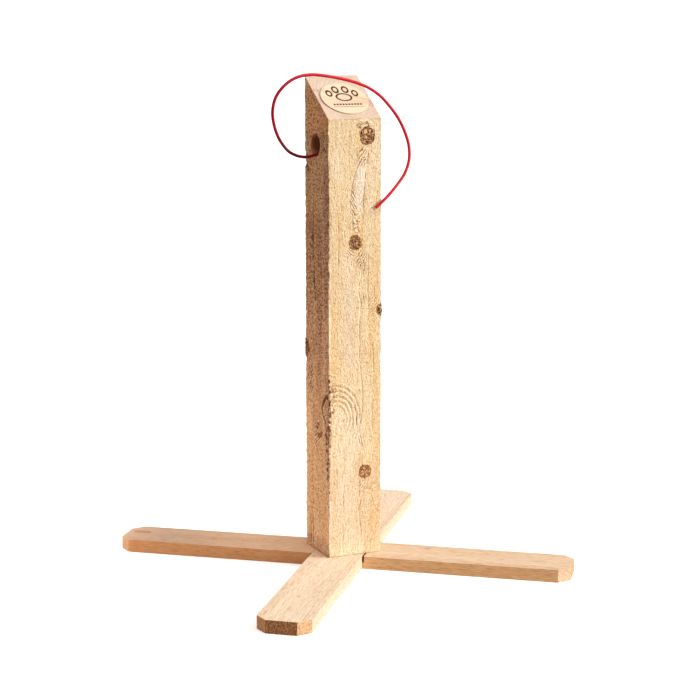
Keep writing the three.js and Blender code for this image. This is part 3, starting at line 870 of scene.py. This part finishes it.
class Marks:
    """What a side face's marks do at each of its points: how far the surface moves out, how far the
    grain is pushed across, and how much there is of each mark."""

    def __init__(self, face, points):
        self.face, self.points = face, points
        self.u, self.z = points[:, FACES[face][1]], points[:, 2]
        count = len(points)
        self.out, self.push = np.zeros(count), np.zeros(count)
        self.share = {name: np.zeros(count) for name in SHARES}
        self.lines = {name: np.zeros((count, 3)) for name in LINES}
        self.rough = noise(points, 0.0035, 5, 3)
        self.fibres = noise(points, (0.0022, 0.0022, 0.016), 9, 3)
        self.ragged = noise(points, (0.0060, 0.0060, 0.0050), 13, 2)
        self.add_knots()
        self.add_torn()
        self.add_ripples()
        self.add_seams("seam_a", SEAMS_A)
        self.add_seams("seam_b", SEAMS_B)
        self.add_stripes("pale", PALE_STRIPES)
        self.add_stripes("warm", WARM_STRIPES)
        self.add_stripes("stain", STAINS)
        self.add_crevices()
        if face == "front":
            self.add_swirl()
        self.add_sawing()

    def own(self, marks):
        return marks.get(self.face, [])

    def more(self, name, share):
        self.share[name] = np.maximum(self.share[name], share)

    def reach(self, across, up, wide, high):
        """How far each point is from a patch's middle: 1 at its edge."""
        return np.hypot((self.u - across) / wide, (self.z - up) / high)

    def add_knots(self):
        for across, up, wide, high, stands, dark in self.own(KNOTS):
            reach = self.reach(across, up, wide, high) + 0.22 * self.rough
            core = rise(reach, 1.08, 0.86)
            self.more("knot" if dark > BURL_BELOW else "burl", core * dark)
            self.out += core * (stands + 0.0006 * self.rough)
            self.out -= 0.0004 * rise(np.abs(reach - 1.08), 0.14, 0.0)
            away = (self.u - across) ** 2 + ((self.z - up) / 1.9) ** 2
            self.push -= (self.u - across) * GRAIN_PARTS / (1 + away / (1.2 * wide**2))
            self.more("warm", rise(reach, 1.9, 1.0) * 0.5 * dark)

    def add_torn(self):
        for across, up, wide, high, deep, dark in self.own(TORN):
            inside = rise(self.reach(across, up, wide, high) + 0.35 * self.rough, 1.05, 0.45)
            self.more("burl", inside * dark * rise(self.rough, -0.30, 0.15))
            self.out -= inside * deep * (0.4 + self.rough)

    def add_ripples(self):
        for across, up, wide, high, slant, pitch, strength in self.own(RIPPLES):
            inside = rise(self.reach(across, up, wide, high), 1.0, 0.45) * strength
            s, c = math.sin(math.radians(slant)), math.cos(math.radians(slant))
            cycles = ((self.z - up) * c - (self.u - across) * s) / pitch
            self.set_lines("ripple", cycles, inside, RIPPLE_DISORDER)

    def add_swirl(self):
        du, dz = self.u - SWIRL_ACROSS, (self.z - SWIRL_UP) / SWIRL_STRETCH
        far = np.hypot(du, dz)
        turn = np.degrees(np.arctan2(dz, du))
        sector = rise(turn, -60, 0) * rise(turn, 125, 90)
        band = rise(far, SWIRL_FROM, SWIRL_FROM + 0.006) * rise(far, SWIRL_TO, SWIRL_TO - 0.008)
        cycles = (far + 0.0010 * noise(self.points, 0.012, 21, 2)) / SWIRL_PITCH
        self.out += 0.0005 * sector * band * np.sin(2 * math.pi * cycles) + 0.0009 * rise(far, 0.030, 0.012)
        self.push -= du * GRAIN_PARTS / (1 + (far / 0.024) ** 2)
        self.set_lines("ripple", cycles, 0.55 * sector * band, SWIRL_DISORDER)

    def add_seams(self, name, seams):
        for strength, width, lip_highlight, line in self.own(seams):
            side, part = beside_line(self.u, self.z, line)
            side = side / width
            near = near_line(side, part, 0.0045, 0.0032, 0.07)
            self.set_lines(name, side, near * strength, lip_highlight)
            self.out -= 0.0004 * strength * near * rise(np.abs(side), 0.0018, 0.0)

    def add_stripes(self, name, stripes):
        for half, strength, line in self.own(stripes):
            side, part = beside_line(self.u + 0.004 * self.fibres, self.z, line)
            share = near_line(side, part, 1.3 * half, 0.3 * half, 0.18)
            self.more(name, share * strength)
            if name == "pale":
                self.out += 0.0005 * share * self.fibres

    def add_crevices(self):
        for half, strength, line in self.own(CREVICES):
            side, part = beside_line(self.u + 0.004 * self.ragged, self.z, line)
            share = near_line(side, part, 1.4 * half, 0.3 * half, 0.06)
            share = share * rise(self.ragged + 0.5 * self.rough, -0.25, 0.25) * strength
            self.more("crevice", share)
            self.out -= 0.0010 * share

    def add_sawing(self):
        """Waves, fibres and fuzz over the whole face, and ragged upright edges."""
        self.out += 0.0004 * noise(self.points, (0.05, 0.05, 0.16), 51, 2)
        self.out += 0.00017 * noise(self.points, (0.0034, 0.0034, 0.011), 53, 3)
        self.out += 0.00012 * noise(self.points, 0.0030, 55, 2)
        edge = rise(HALF_POST - np.abs(self.u), 0.0050, 0.0)
        self.out += RAGGED * edge * noise(self.points, (0.0042, 0.0042, 0.0050), 57, 2)

    def set_lines(self, name, value, mask, extra):
        """Keeps a line's own coordinate where its mask is the strongest."""
        held = np.stack([value, mask, np.full(len(value), float(extra))], axis=1)
        keep_stronger(self.lines[name], np.arange(len(value)), held)


def keep_stronger(lines, where, held):
    """Puts held into those rows of lines where its mask, the middle column, is the greater."""
    stronger = held[:, 1] > lines[where, 1]
    lines[where[stronger]] = held[stronger]


# ---- the post's mesh ----

def top_height(y):
    return FRONT_HEIGHT + (y + HALF_POST) * math.tan(TOP_SLOPE)


def grid_steps(low, high, step, fine):
    """Places from low to high, a step apart, with those in fine, measured from each end, added."""
    edge = fine[-1]
    count = max(2, round((high - low - 2 * edge) / step) + 1)
    middle = np.linspace(low + edge, high - edge, count)
    return np.concatenate([low + np.array(fine[:-1]), middle, high - np.array(fine[-2::-1])])


COLUMN_STEP, ROW_STEP = 0.00152, 0.0026
FINE = [0, 0.0006, 0.0012, 0.0020, 0.0030]
LEVEL_TO = 0.744  # rows are level up to here, and lean with the slanted top above it
LEANING_ROWS = 24
SAWN, END, BORE = 0, 1, 2


class Grid:
    """Points and faces, added to as the post's surface is laid out."""

    def __init__(self):
        self.points, self.faces, self.kinds, self.labels = [], [], [], []

    def point(self, place, label):
        self.points.append(place)
        self.labels.append(label)
        return len(self.points) - 1

    def face(self, corners, kind):
        self.faces.append(tuple(corners))
        self.kinds.append(kind)

    def bands(self, rings, kind):
        """Faces between each closed ring and the next, which have as many points."""
        for outer, inner in zip(rings, rings[1:]):
            for k in range(len(outer)):
                after = (k + 1) % len(outer)
                self.face((outer[k], outer[after], inner[after], inner[k]), kind)


def post_sides(grid, columns):
    """The four sides, as rows of one ring of columns each. Returns the rows of point numbers."""
    last = len(columns) - 1
    ring = [(x, -HALF_POST, "front") for x in columns[:last]]
    ring += [(HALF_POST, y, "right") for y in columns[:last]]
    ring += [(x, HALF_POST, "back") for x in columns[:0:-1]]
    ring += [(-HALF_POST, y, "left") for y in columns[:0:-1]]
    level = FOOT + np.concatenate([[0, 0.0007, 0.0016], np.arange(0.004, LEVEL_TO - FOOT, ROW_STEP)])
    lean = rise(np.linspace(0, 1, LEANING_ROWS), -0.6, 1.25)
    lean = (lean - lean[0]) / (lean[-1] - lean[0])
    rows = []
    for z, part in [(z, 0) for z in level] + [(level[-1], part) for part in lean[1:]]:
        rows.append([grid.point((x, y, z + part * (top_height(y) - z)), label) for x, y, label in ring])
    return rows


def post_cap(grid, columns, rim):
    """The slanted top, a square grid whose border is the sides' last row."""
    last = len(columns) - 1
    table = {}
    for a, x in enumerate(columns):
        for b, y in enumerate(columns):
            if b == 0:
                table[a, b] = rim[a]
            elif a == last:
                table[a, b] = rim[last + b]
            elif b == last:
                table[a, b] = rim[3 * last - a]
            elif a == 0:
                table[a, b] = rim[4 * last - b]
            else:
                table[a, b] = grid.point((x, y, top_height(y)), "top")
    for a in range(last):
        for b in range(last):
            grid.face((table[a, b], table[a + 1, b], table[a + 1, b + 1], table[a, b + 1]), END)


def hole_ring(grid, window, radius, depth, share=1.0):
    """A ring of points round the hole's axis. share below 1 keeps it that much nearer the window's edge."""
    ring = []
    for corner in window:
        _, y, z = grid.points[corner]
        angle = math.atan2(z - HOLE_Z, y - HOLE_Y)
        round_y, round_z = HOLE_Y + radius * math.cos(angle), HOLE_Z + radius * math.sin(angle)
        place = (-HALF_POST + depth, y + share * (round_y - y), z + share * (round_z - z))
        ring.append(grid.point(place, "left" if depth == 0 else "bore"))
    return ring


def post_hole(grid, window):
    """The drilled hole inside a window left in the left face, and the wire's socket in its floor."""
    rings = [hole_ring(grid, window, HOLE_RADIUS + 0.0006, 0, share) for share in (0.45, 0.8, 1.0)]
    grid.bands([window, *rings], SAWN)
    walls = [rings[-1], hole_ring(grid, window, HOLE_RADIUS, 0.0007)]
    walls += [hole_ring(grid, window, HOLE_RADIUS, d) for d in np.linspace(0.003, HOLE_DEPTH - 0.001, 20)]
    walls += [hole_ring(grid, window, r, HOLE_DEPTH) for r in (0.0182, 0.013, 0.007, SOCKET_RADIUS)]
    walls += [hole_ring(grid, window, SOCKET_RADIUS, HOLE_DEPTH + d) for d in (0.008, 0.016, SOCKET_DEPTH)]
    grid.bands(walls, BORE)
    grid.face(walls[-1], BORE)


def post_surface():
    """The whole surface, before it is rounded and marked."""
    columns = grid_steps(-HALF_POST, HALF_POST, COLUMN_STEP, FINE)
    grid = Grid()
    rows = post_sides(grid, columns)
    count = len(rows[0])
    half_window = HOLE_RADIUS + 0.0026
    left = [i for i in range(3 * (len(columns) - 1), count)
            if abs(grid.points[rows[0][i]][1] - HOLE_Y) < half_window]
    high = [j for j, row in enumerate(rows) if abs(grid.points[row[0]][2] - HOLE_Z) < half_window]
    i0, i1, j0, j1 = left[0], left[-1], high[0], high[-1]
    for j in range(len(rows) - 1):
        for i in range(count):
            if not (i0 <= i < i1 and j0 <= j < j1):
                after = (i + 1) % count
                grid.face((rows[j][i], rows[j][after], rows[j + 1][after], rows[j + 1][i]), SAWN)
    window = [rows[j0][i] for i in range(i0, i1)] + [rows[j][i1] for j in range(j0, j1)]
    window += [rows[j1][i] for i in range(i1, i0, -1)] + [rows[j][i0] for j in range(j1, j0, -1)]
    post_hole(grid, window)
    post_cap(grid, columns, rows[-1])
    grid.face(rows[0][::-1], SAWN)
    return grid


def edge_radius(sign_x, sign_y, points):
    """How round and how torn an upright edge of the post is at each point's height."""
    heights = points * (0, 0, 1) + (sign_x, sign_y, 0)
    radius = EDGE_RADIUS * (1 + 0.9 * noise(heights, (1, 1, 0.008), 31, 3))
    for nick_x, nick_y, up, half, deep in NICKS:
        if (nick_x, nick_y) == (sign_x, sign_y):
            ragged = 1 + 0.5 * noise(heights, (1, 1, 0.004), 33, 2)
            radius += deep * ragged * rise(np.abs(points[:, 2] - up), half, 0.2 * half)
    return np.maximum(radius, 0.0004)


def round_edge(moved, own, other, radius):
    """Moves points of one face near the edge with another onto a quarter round. own and other are
    (distance inside the face, outward normal)."""
    near = (np.abs(own[0]) < 1e-6) & (other[0] < radius)
    angle = (1 - other[0][near] / radius[near]) * math.pi / 4
    along = radius[near] * (1 - np.sin(angle)) - other[0][near]
    inward = radius[near] * (1 - np.cos(angle))
    moved[near] -= along[:, None] * other[1] + inward[:, None] * own[1]


def round_edges(points, moved, sides):
    """Rounds the four upright edges, the foot and the rim of the slanted top."""
    for face_x, sign_x in (("left", -1), ("right", 1)):
        for face_y, sign_y in (("front", -1), ("back", 1)):
            radius = edge_radius(sign_x, sign_y, points)
            on_x = np.abs(sides[face_x][0]) < 1e-6
            round_edge(moved, sides[face_x], sides[face_y], np.where(on_x, radius, 1e-9))
            round_edge(moved, sides[face_y], sides[face_x], np.where(on_x, 1e-9, radius))
    foot_radius = 0.0007 * (1.0 + 0.5 * noise(points, 0.012, 43, 2))
    foot = (points[:, 2] - FOOT, np.array((0, 0, -1.0)))
    for face in FACES:
        round_edge(moved, sides[face], foot, foot_radius)
    top_radius = 0.0006 * (1.2 + 0.6 * noise(points, 0.01, 41, 2))
    on_rim = np.abs(sides["top"][0]) < 1e-6
    for face in FACES:
        round_edge(moved, sides[face], sides["top"], np.where(on_rim, 1e-9, top_radius))
        round_edge(moved, sides["top"], sides[face], top_radius)


def push_out(points, moved, where, amount, size, seed, outward):
    """Moves some of the points out and in by noise."""
    moved[where] += (amount * noise(points[where], size, seed, 2))[:, None] * outward


def mark_faces(points, sides, bore, moved, grain):
    """Moves the points and the grain by each face's marks. Returns what the material reads of them."""
    values = {name: np.zeros(len(points)) for name in SHARES}
    lines = {name: np.zeros((len(points), 3)) for name in LINES}
    for face, (normal, axis) in FACES.items():
        weight = rise(sides[face][0], 0.004, 0.0) * ~bore * rise(sides["top"][0], 0.0, 0.002)
        near = np.flatnonzero(weight > 0)
        weight = weight[near]
        marks = Marks(face, points[near])
        moved[near] += (weight * marks.out)[:, None] * np.array(normal, float)
        grain[near, axis] += marks.push * weight
        for name, share in marks.share.items():
            values[name][near] = np.maximum(values[name][near], share * weight)
        for name, held in marks.lines.items():
            held[:, 1] *= weight
            keep_stronger(lines[name], near, held)
    return {**values, **lines}


def growth_rings(points, grain):
    """How far each point is from the pith, which wanders, and leans a little."""
    wander = np.stack([noise(points * (0, 0, 1), (1, 1, 0.30), seed) for seed in (71, 73)], axis=1)
    away = grain[:, :2] - np.array(PITH) - 0.008 * wander
    return np.hypot(*away.T) + 0.010 * points[:, 2]


def add_post(materials):
    grid = post_surface()
    points, labels = np.array(grid.points, float), np.array(grid.labels)
    moved, grain = points.copy(), points.copy()
    sides = {}
    for face, (normal, _) in FACES.items():
        sides[face] = (HALF_POST - points @ np.array(normal, float), np.array(normal, float))
    under_top = (top_height(points[:, 1]) - points[:, 2]) * math.cos(TOP_SLOPE)
    sides["top"] = (under_top, np.array((0, -math.sin(TOP_SLOPE), math.cos(TOP_SLOPE))))
    round_edges(points, moved, sides)

    bore = labels == "bore"
    grit = (labels == "left") * (0.65 + 0.35 * rise(points[:, 2], 0.25, 0.45))
    values = mark_faces(points, sides, bore, moved, grain)
    push_out(points, moved, labels == "top", 0.00012, (0.03, 0.004, 0.004), 61, sides["top"][1])
    walls = bore & (points[:, 0] < -HALF_POST + HOLE_DEPTH - 0.0005)
    from_axis = (points[walls] - (0, HOLE_Y, HOLE_Z)) * (0, 1, 1)
    from_axis /= np.linalg.norm(from_axis, axis=1)[:, None]
    push_out(points, moved, walls, 0.00016, (0.002, 0.006, 0.006), 63, from_axis)

    piece = make_piece("post_timber", moved, grid.faces, materials, grid.kinds)
    smooth_but_for(piece, 50)
    values.update(grain=grain, ring=growth_rings(points, grain), grit=grit)
    for name, value in values.items():
        keep_values(piece, name, value)
    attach(piece, "stand")
    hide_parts("post")


# ---- cross boards ----

# Screw holes, as cut into the boards: radius, height
SCREW_PROFILE = [(0.0049, -0.002), (0.0049, 0.0015), (0.0027, 0.0037), (0.0027, 0.030)]
SCREW_SIDES = 32
SOFTENED = 0.0009  # how much of the boards' edges is rounded
OVER = 0.002  # how far a notch's cutter reaches past the board
PLAIN = (1.0, 1.0, 1.0)


def countersink(x, y):
    """A cutter for a screw's hole, countersunk at floor level."""
    vertices = [(x + r * c, y + r * s, z) for r, z in SCREW_PROFILE for c, s in circle(SCREW_SIDES)]
    return make_piece("screw_hole", vertices, stack_faces(SCREW_SIDES, len(SCREW_PROFILE)))


def notch(left, right, low, high):
    corners = [(left, -BOARD_WIDTH), (right, -BOARD_WIDTH), (right, BOARD_WIDTH), (left, BOARD_WIDTH)]
    return prism("notch", corners, low, high)


def make_board(name, cutter, angle, material):
    """A planed board with softened edges, cut corners and a half-lap notch. It is made along X, then
    turned."""
    end, side, c = BOARD_LENGTH / 2, BOARD_WIDTH / 2, BOARD_CORNER_CUT
    half = [(end, -side + c), (end, side - c), (end - c, side), (-end + c, side)]
    corners = half + [(-x, -y) for x, y in half]
    piece = prism(name, corners, 0, BOARD_THICKNESS, [material])
    for tool in [cutter, *(countersink(SCREW_OFFSET * x, SCREW_OFFSET * y) for x, y in circle(4))]:
        modify(piece, "BOOLEAN", object=tool, operation="DIFFERENCE", solver="EXACT")
        bpy.data.objects.remove(tool)
    modify(piece, "BEVEL", width=SOFTENED, segments=3, limit_method="ANGLE", angle_limit=math.radians(35))
    piece.data.transform(Matrix.Rotation(angle, 4, "Z"))
    smooth_but_for(piece, 40)
    modify(piece, "WEIGHTED_NORMAL", keep_sharp=True)
    return piece


def add_cross():
    reach, lap = BOARD_WIDTH / 2 + GAP, BOARD_THICKNESS / 2
    under = notch(-reach, reach, -OVER, lap + GAP / 2)
    above = notch(-reach, BOARD_WIDTH / 2 + NOTCH_PLAY, lap - GAP / 2, BOARD_THICKNESS + OVER)
    cream = [(0.845, 0.725, 0.55), (0.81, 0.675, 0.495), (0.76, 0.60, 0.42)]
    pink = [(0.84, 0.665, 0.465), (0.80, 0.605, 0.41), (0.74, 0.52, 0.335)]
    upper = planed_cedar("planed_upper", UPPER_BOARD_ANGLE, (0.060, -0.020),
                         [(0.276, 0.019, 0.0022, 0.2), (-0.335, -0.030, 0.006, 0.6)], cream,
                         [PLAIN, PLAIN, PLAIN, (1.0, 0.92, 0.98), (0.84, 0.74, 0.57), (0.55, 0.41, 0.30)])
    # The lower board's first three tints are painted shade on its left leg, which lies in the post's
    # shadow.
    lower = planed_cedar("planed_lower", LOWER_BOARD_ANGLE, (-0.058, -0.030),
                         [(0.145, 0.027, 0.0034, 0.1), (-0.374, 0.009, 0.011, 1.0)], pink,
                         [(1.0, 0.965, 0.925), (0.88, 0.75, 0.69), (0.48, 0.49, 0.54),
                          (1.0, 0.97, 0.80), PLAIN, (0.80, 0.72, 0.64)])
    for name, node, cutter, angle, material in (
            ("upper_board", "upper_cross_board", under, UPPER_BOARD_ANGLE, upper),
            ("lower_board", "lower_cross_board", above, LOWER_BOARD_ANGLE, lower)):
        piece = make_board(name, cutter, angle, material)
        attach(piece, "stand")
        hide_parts(node)


# ---- plaque ----

def add_plaque(material):
    """A disc with a softened rim, lying on the slanted top. It is made flat, and keeps its own
    coordinates for the burnt-in mark."""
    sides, half, soft = 128, PLAQUE_THICKNESS / 2, 0.0004
    low = -half - 0.8 * GAP  # nearly touching the slanted top
    rings = [(PLAQUE_RADIUS - soft, low), (PLAQUE_RADIUS, low + soft), (PLAQUE_RADIUS, half - soft),
             (PLAQUE_RADIUS - 0.3 * soft, half - 0.3 * soft), (PLAQUE_RADIUS - soft, half)]
    rings += [(float(radius), half) for radius in np.linspace(PLAQUE_RADIUS - 0.002, 0.002, 16)]
    flat = [(r * c, r * s, z) for r, z in rings for c, s in circle(sides)]
    up_slope = Vector((0, math.cos(TOP_SLOPE), math.sin(TOP_SLOPE)))
    outward = Vector((0, -math.sin(TOP_SLOPE), math.cos(TOP_SLOPE)))
    centre = Vector((0, -HALF_POST, FRONT_HEIGHT)) + PLAQUE_UP_SLOPE * up_slope
    centre += (GAP + half) * outward
    placed = [centre + Vector((u, 0, 0)) + v * up_slope + w * outward for u, v, w in flat]
    piece = make_piece("plaque_disc", placed, stack_faces(sides, len(rings)), [material])
    smooth_but_for(piece, 35)
    keep_values(piece, "plaque", flat)
    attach(piece, "stand")
    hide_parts("top_plaque")


# ---- teaser wire ----

def lengths(points):
    """How long each stretch between neighbouring points is."""
    return np.linalg.norm(np.diff(points, axis=0), axis=1)


def curve_point(four, knots, t):
    """The centripetal Catmull-Rom curve through four points, at t between the middle two's knots."""
    level = list(four)
    for reach in (1, 2):
        for k in range(4 - reach):
            part = (t - knots[k]) / (knots[k + reach] - knots[k])
            level[k] = (1 - part) * level[k] + part * level[k + 1]
    part = (t - knots[1]) / (knots[2] - knots[1])
    return (1 - part) * level[0] + part * level[1]


def smooth_route(route, step):
    """Points about a step apart on the same curve as the CAD's wire."""
    p = np.array(route, float)
    p = np.vstack([2 * p[0] - p[1], p, 2 * p[-1] - p[-2]])
    made = []
    for i in range(1, len(p) - 2):
        four = p[i - 1 : i + 3]
        knots = np.concatenate([[0], np.cumsum(lengths(four) ** 0.5)])
        count = max(2, round(np.linalg.norm(four[2] - four[1]) / step) + 1)
        made += [curve_point(four, knots, t) for t in np.linspace(knots[1], knots[2], count)[:-1]]
    made.append(p[-2])
    return np.array(made)


def tube(line, profile):
    """A closed tube along a line. profile is a list of (point number, radius, how far along past it)."""
    ahead = np.gradient(line, axis=0)
    ahead /= np.linalg.norm(ahead, axis=1)[:, None]
    side = np.cross(ahead[0], (0, 0, 1))
    frames = []
    for direction in ahead:
        side = side - direction * (side @ direction)
        side /= np.linalg.norm(side)
        frames.append((side, np.cross(direction, side)))
    vertices = []
    for at, radius, past in profile:
        across, up = frames[at]
        middle = line[at] + past * ahead[at]
        vertices += [middle + radius * (c * across + s * up) for c, s in circle(WIRE_SIDES)]
    return vertices, stack_faces(WIRE_SIDES, len(profile))


def bend_at_lip(piece, line):
    """Bakes the piece's transform and works out each point's share of a turn just past the lip of the hole,
    by its distance along the wire, since the loop comes back over the post. The share is not used, so the
    wire does not bend."""
    lip = Vector(LOOP_ROUTE[0])
    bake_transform(piece)
    along = np.concatenate([[0], np.cumsum(lengths(line))])
    nearest = int(np.argmin(np.linalg.norm(line - np.array(lip), axis=1)))
    share = rise(along, along[nearest], along[nearest] + BEND_LENGTH)


def wire_part(name, line, profile, material):
    """The wire's jacket or its core, unbroken from inside the post to the cut end."""
    piece = make_piece(name, *tube(line, profile), [material])
    smooth_but_for(piece, 40)
    bend_at_lip(piece, line)
    return piece


def add_wire(jacket_material, core_material):
    line = smooth_route(ROOT_ROUTE + LOOP_ROUTE, WIRE_STEP)
    last = len(line) - 1

    r, inner = JACKET_RADIUS, CORE_RADIUS + 0.00004
    profile = [(0, 0.85 * r, 0), (0, r, 0.0003)] + [(i, r, 0) for i in range(1, last)]
    profile += [(last, r, -0.0003), (last, 0.93 * r, 0), (last, inner, 0), (last, inner, -0.0012)]
    jacket = wire_part("teaser_jacket", line, profile, jacket_material)
    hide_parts("wire_jacket_root", "wire_jacket_loop")

    r = CORE_RADIUS
    profile = [(0, r, 0.0005)] + [(i, r, 0) for i in range(1, last)]
    profile += [(last, r, 0.0002), (last, 0.8 * r, 0.0004)]
    core = wire_part("teaser_core", line, profile, core_material)
    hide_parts("wire_core_root", "wire_core_loop")


# ---- floor, lights and backdrop ----

FLOOR_REACH = 30
LOW_FILL_PLACE, LOW_FILL_AIM = (-0.42, 0.40, 0.10), (-0.05, 0, 0.12)


def add_floor():
    """White paper to the camera. The light that it throws back is warm by the object, and dim far out."""
    n = material_nodes("floor_paper")
    place = n.place()
    paper = place.noise(6).ramp((0.3, 0.80, 0.79, 0.775), (0.7, 0.84, 0.83, 0.815))
    glow = n.add("Emission", {"Color": (1, 1, 1, 1), "Strength": 0.42})
    seen = n.add("AddShader", {0: n.add("BsdfDiffuse", {"Color": paper}), 1: glow})
    bounce = place.length().rise(0.30, 1.10).ramp((0, 0.66, 0.45, 0.31), (1, 0.14, 0.10, 0.08))
    n.show("OutputMaterial", seen, n.add("BsdfDiffuse", {"Color": bounce}))
    corners = [(FLOOR_REACH * x, FLOOR_REACH * y, 0) for x, y in ((-1, -1), (1, -1), (1, 1), (-1, 1))]
    floor = make_piece("floor", corners, [(0, 1, 2, 3)], [n.owner])


def add_sun(name, azimuth, elevation, strength, angle, colour):
    data = bpy.data.lights.new(name, "SUN")
    data.energy, data.angle, data.color = strength, math.radians(angle), colour
    aim(add_object(name, data), 5 * towards(azimuth, elevation), (0, 0, 0))


def add_low_fill():
    """A warm panel by the floor, behind the left leg, which lights the post's left face from below."""
    data = bpy.data.lights.new("low_fill", "AREA")
    data.size, data.energy, data.color = 0.3, 3.0, (1.0, 0.76, 0.60)
    lamp = add_object("low_fill", data)
    lamp.visible_camera = False
    aim(lamp, LOW_FILL_PLACE, LOW_FILL_AIM)


def add_studio():
    """A white room, a crisp key lamp low on the right, a soft one above it, a soft light from overhead and
    fills from the front and from below."""
    world = bpy.data.worlds.new("studio")
    bpy.context.scene.world = world
    n = Nodes(world)
    seen = n.add("Background", {"Color": (1, 1, 1, 1), "Strength": 1.15})
    unseen = n.add("Background", {"Color": (1.0, 0.66, 0.55, 1), "Strength": 0.24})
    n.show("OutputWorld", seen, unseen)
    add_sun("key", 52.4, 10, 2.6, 4, (0.96, 0.99, 1.0))
    add_sun("soft_key", 56, 45, 1.75, 28, (0.95, 1.0, 1.0))
    add_sun("front_fill", 8, 14, 0.88, 45, (1.0, 0.98, 0.97))
    add_sun("overhead", 10, 82, 1.35, 60, (0.93, 1.0, 1.10))
    add_low_fill()
    bpy.context.scene.view_settings.view_transform = "Standard"
    add_floor()


# ---- everything ----

add_camera()
add_wire(red_plastic(), spring_steel())
add_post([sawn_cedar(), sawn_end(), drilled()])
add_cross()
add_plaque(plaque_wood())
zinc = zinc_steel()
for node_name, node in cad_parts.items():
    if node_name.startswith("base_screw_"):
        for slot in node.material_slots:
            slot.material = zinc
add_studio()
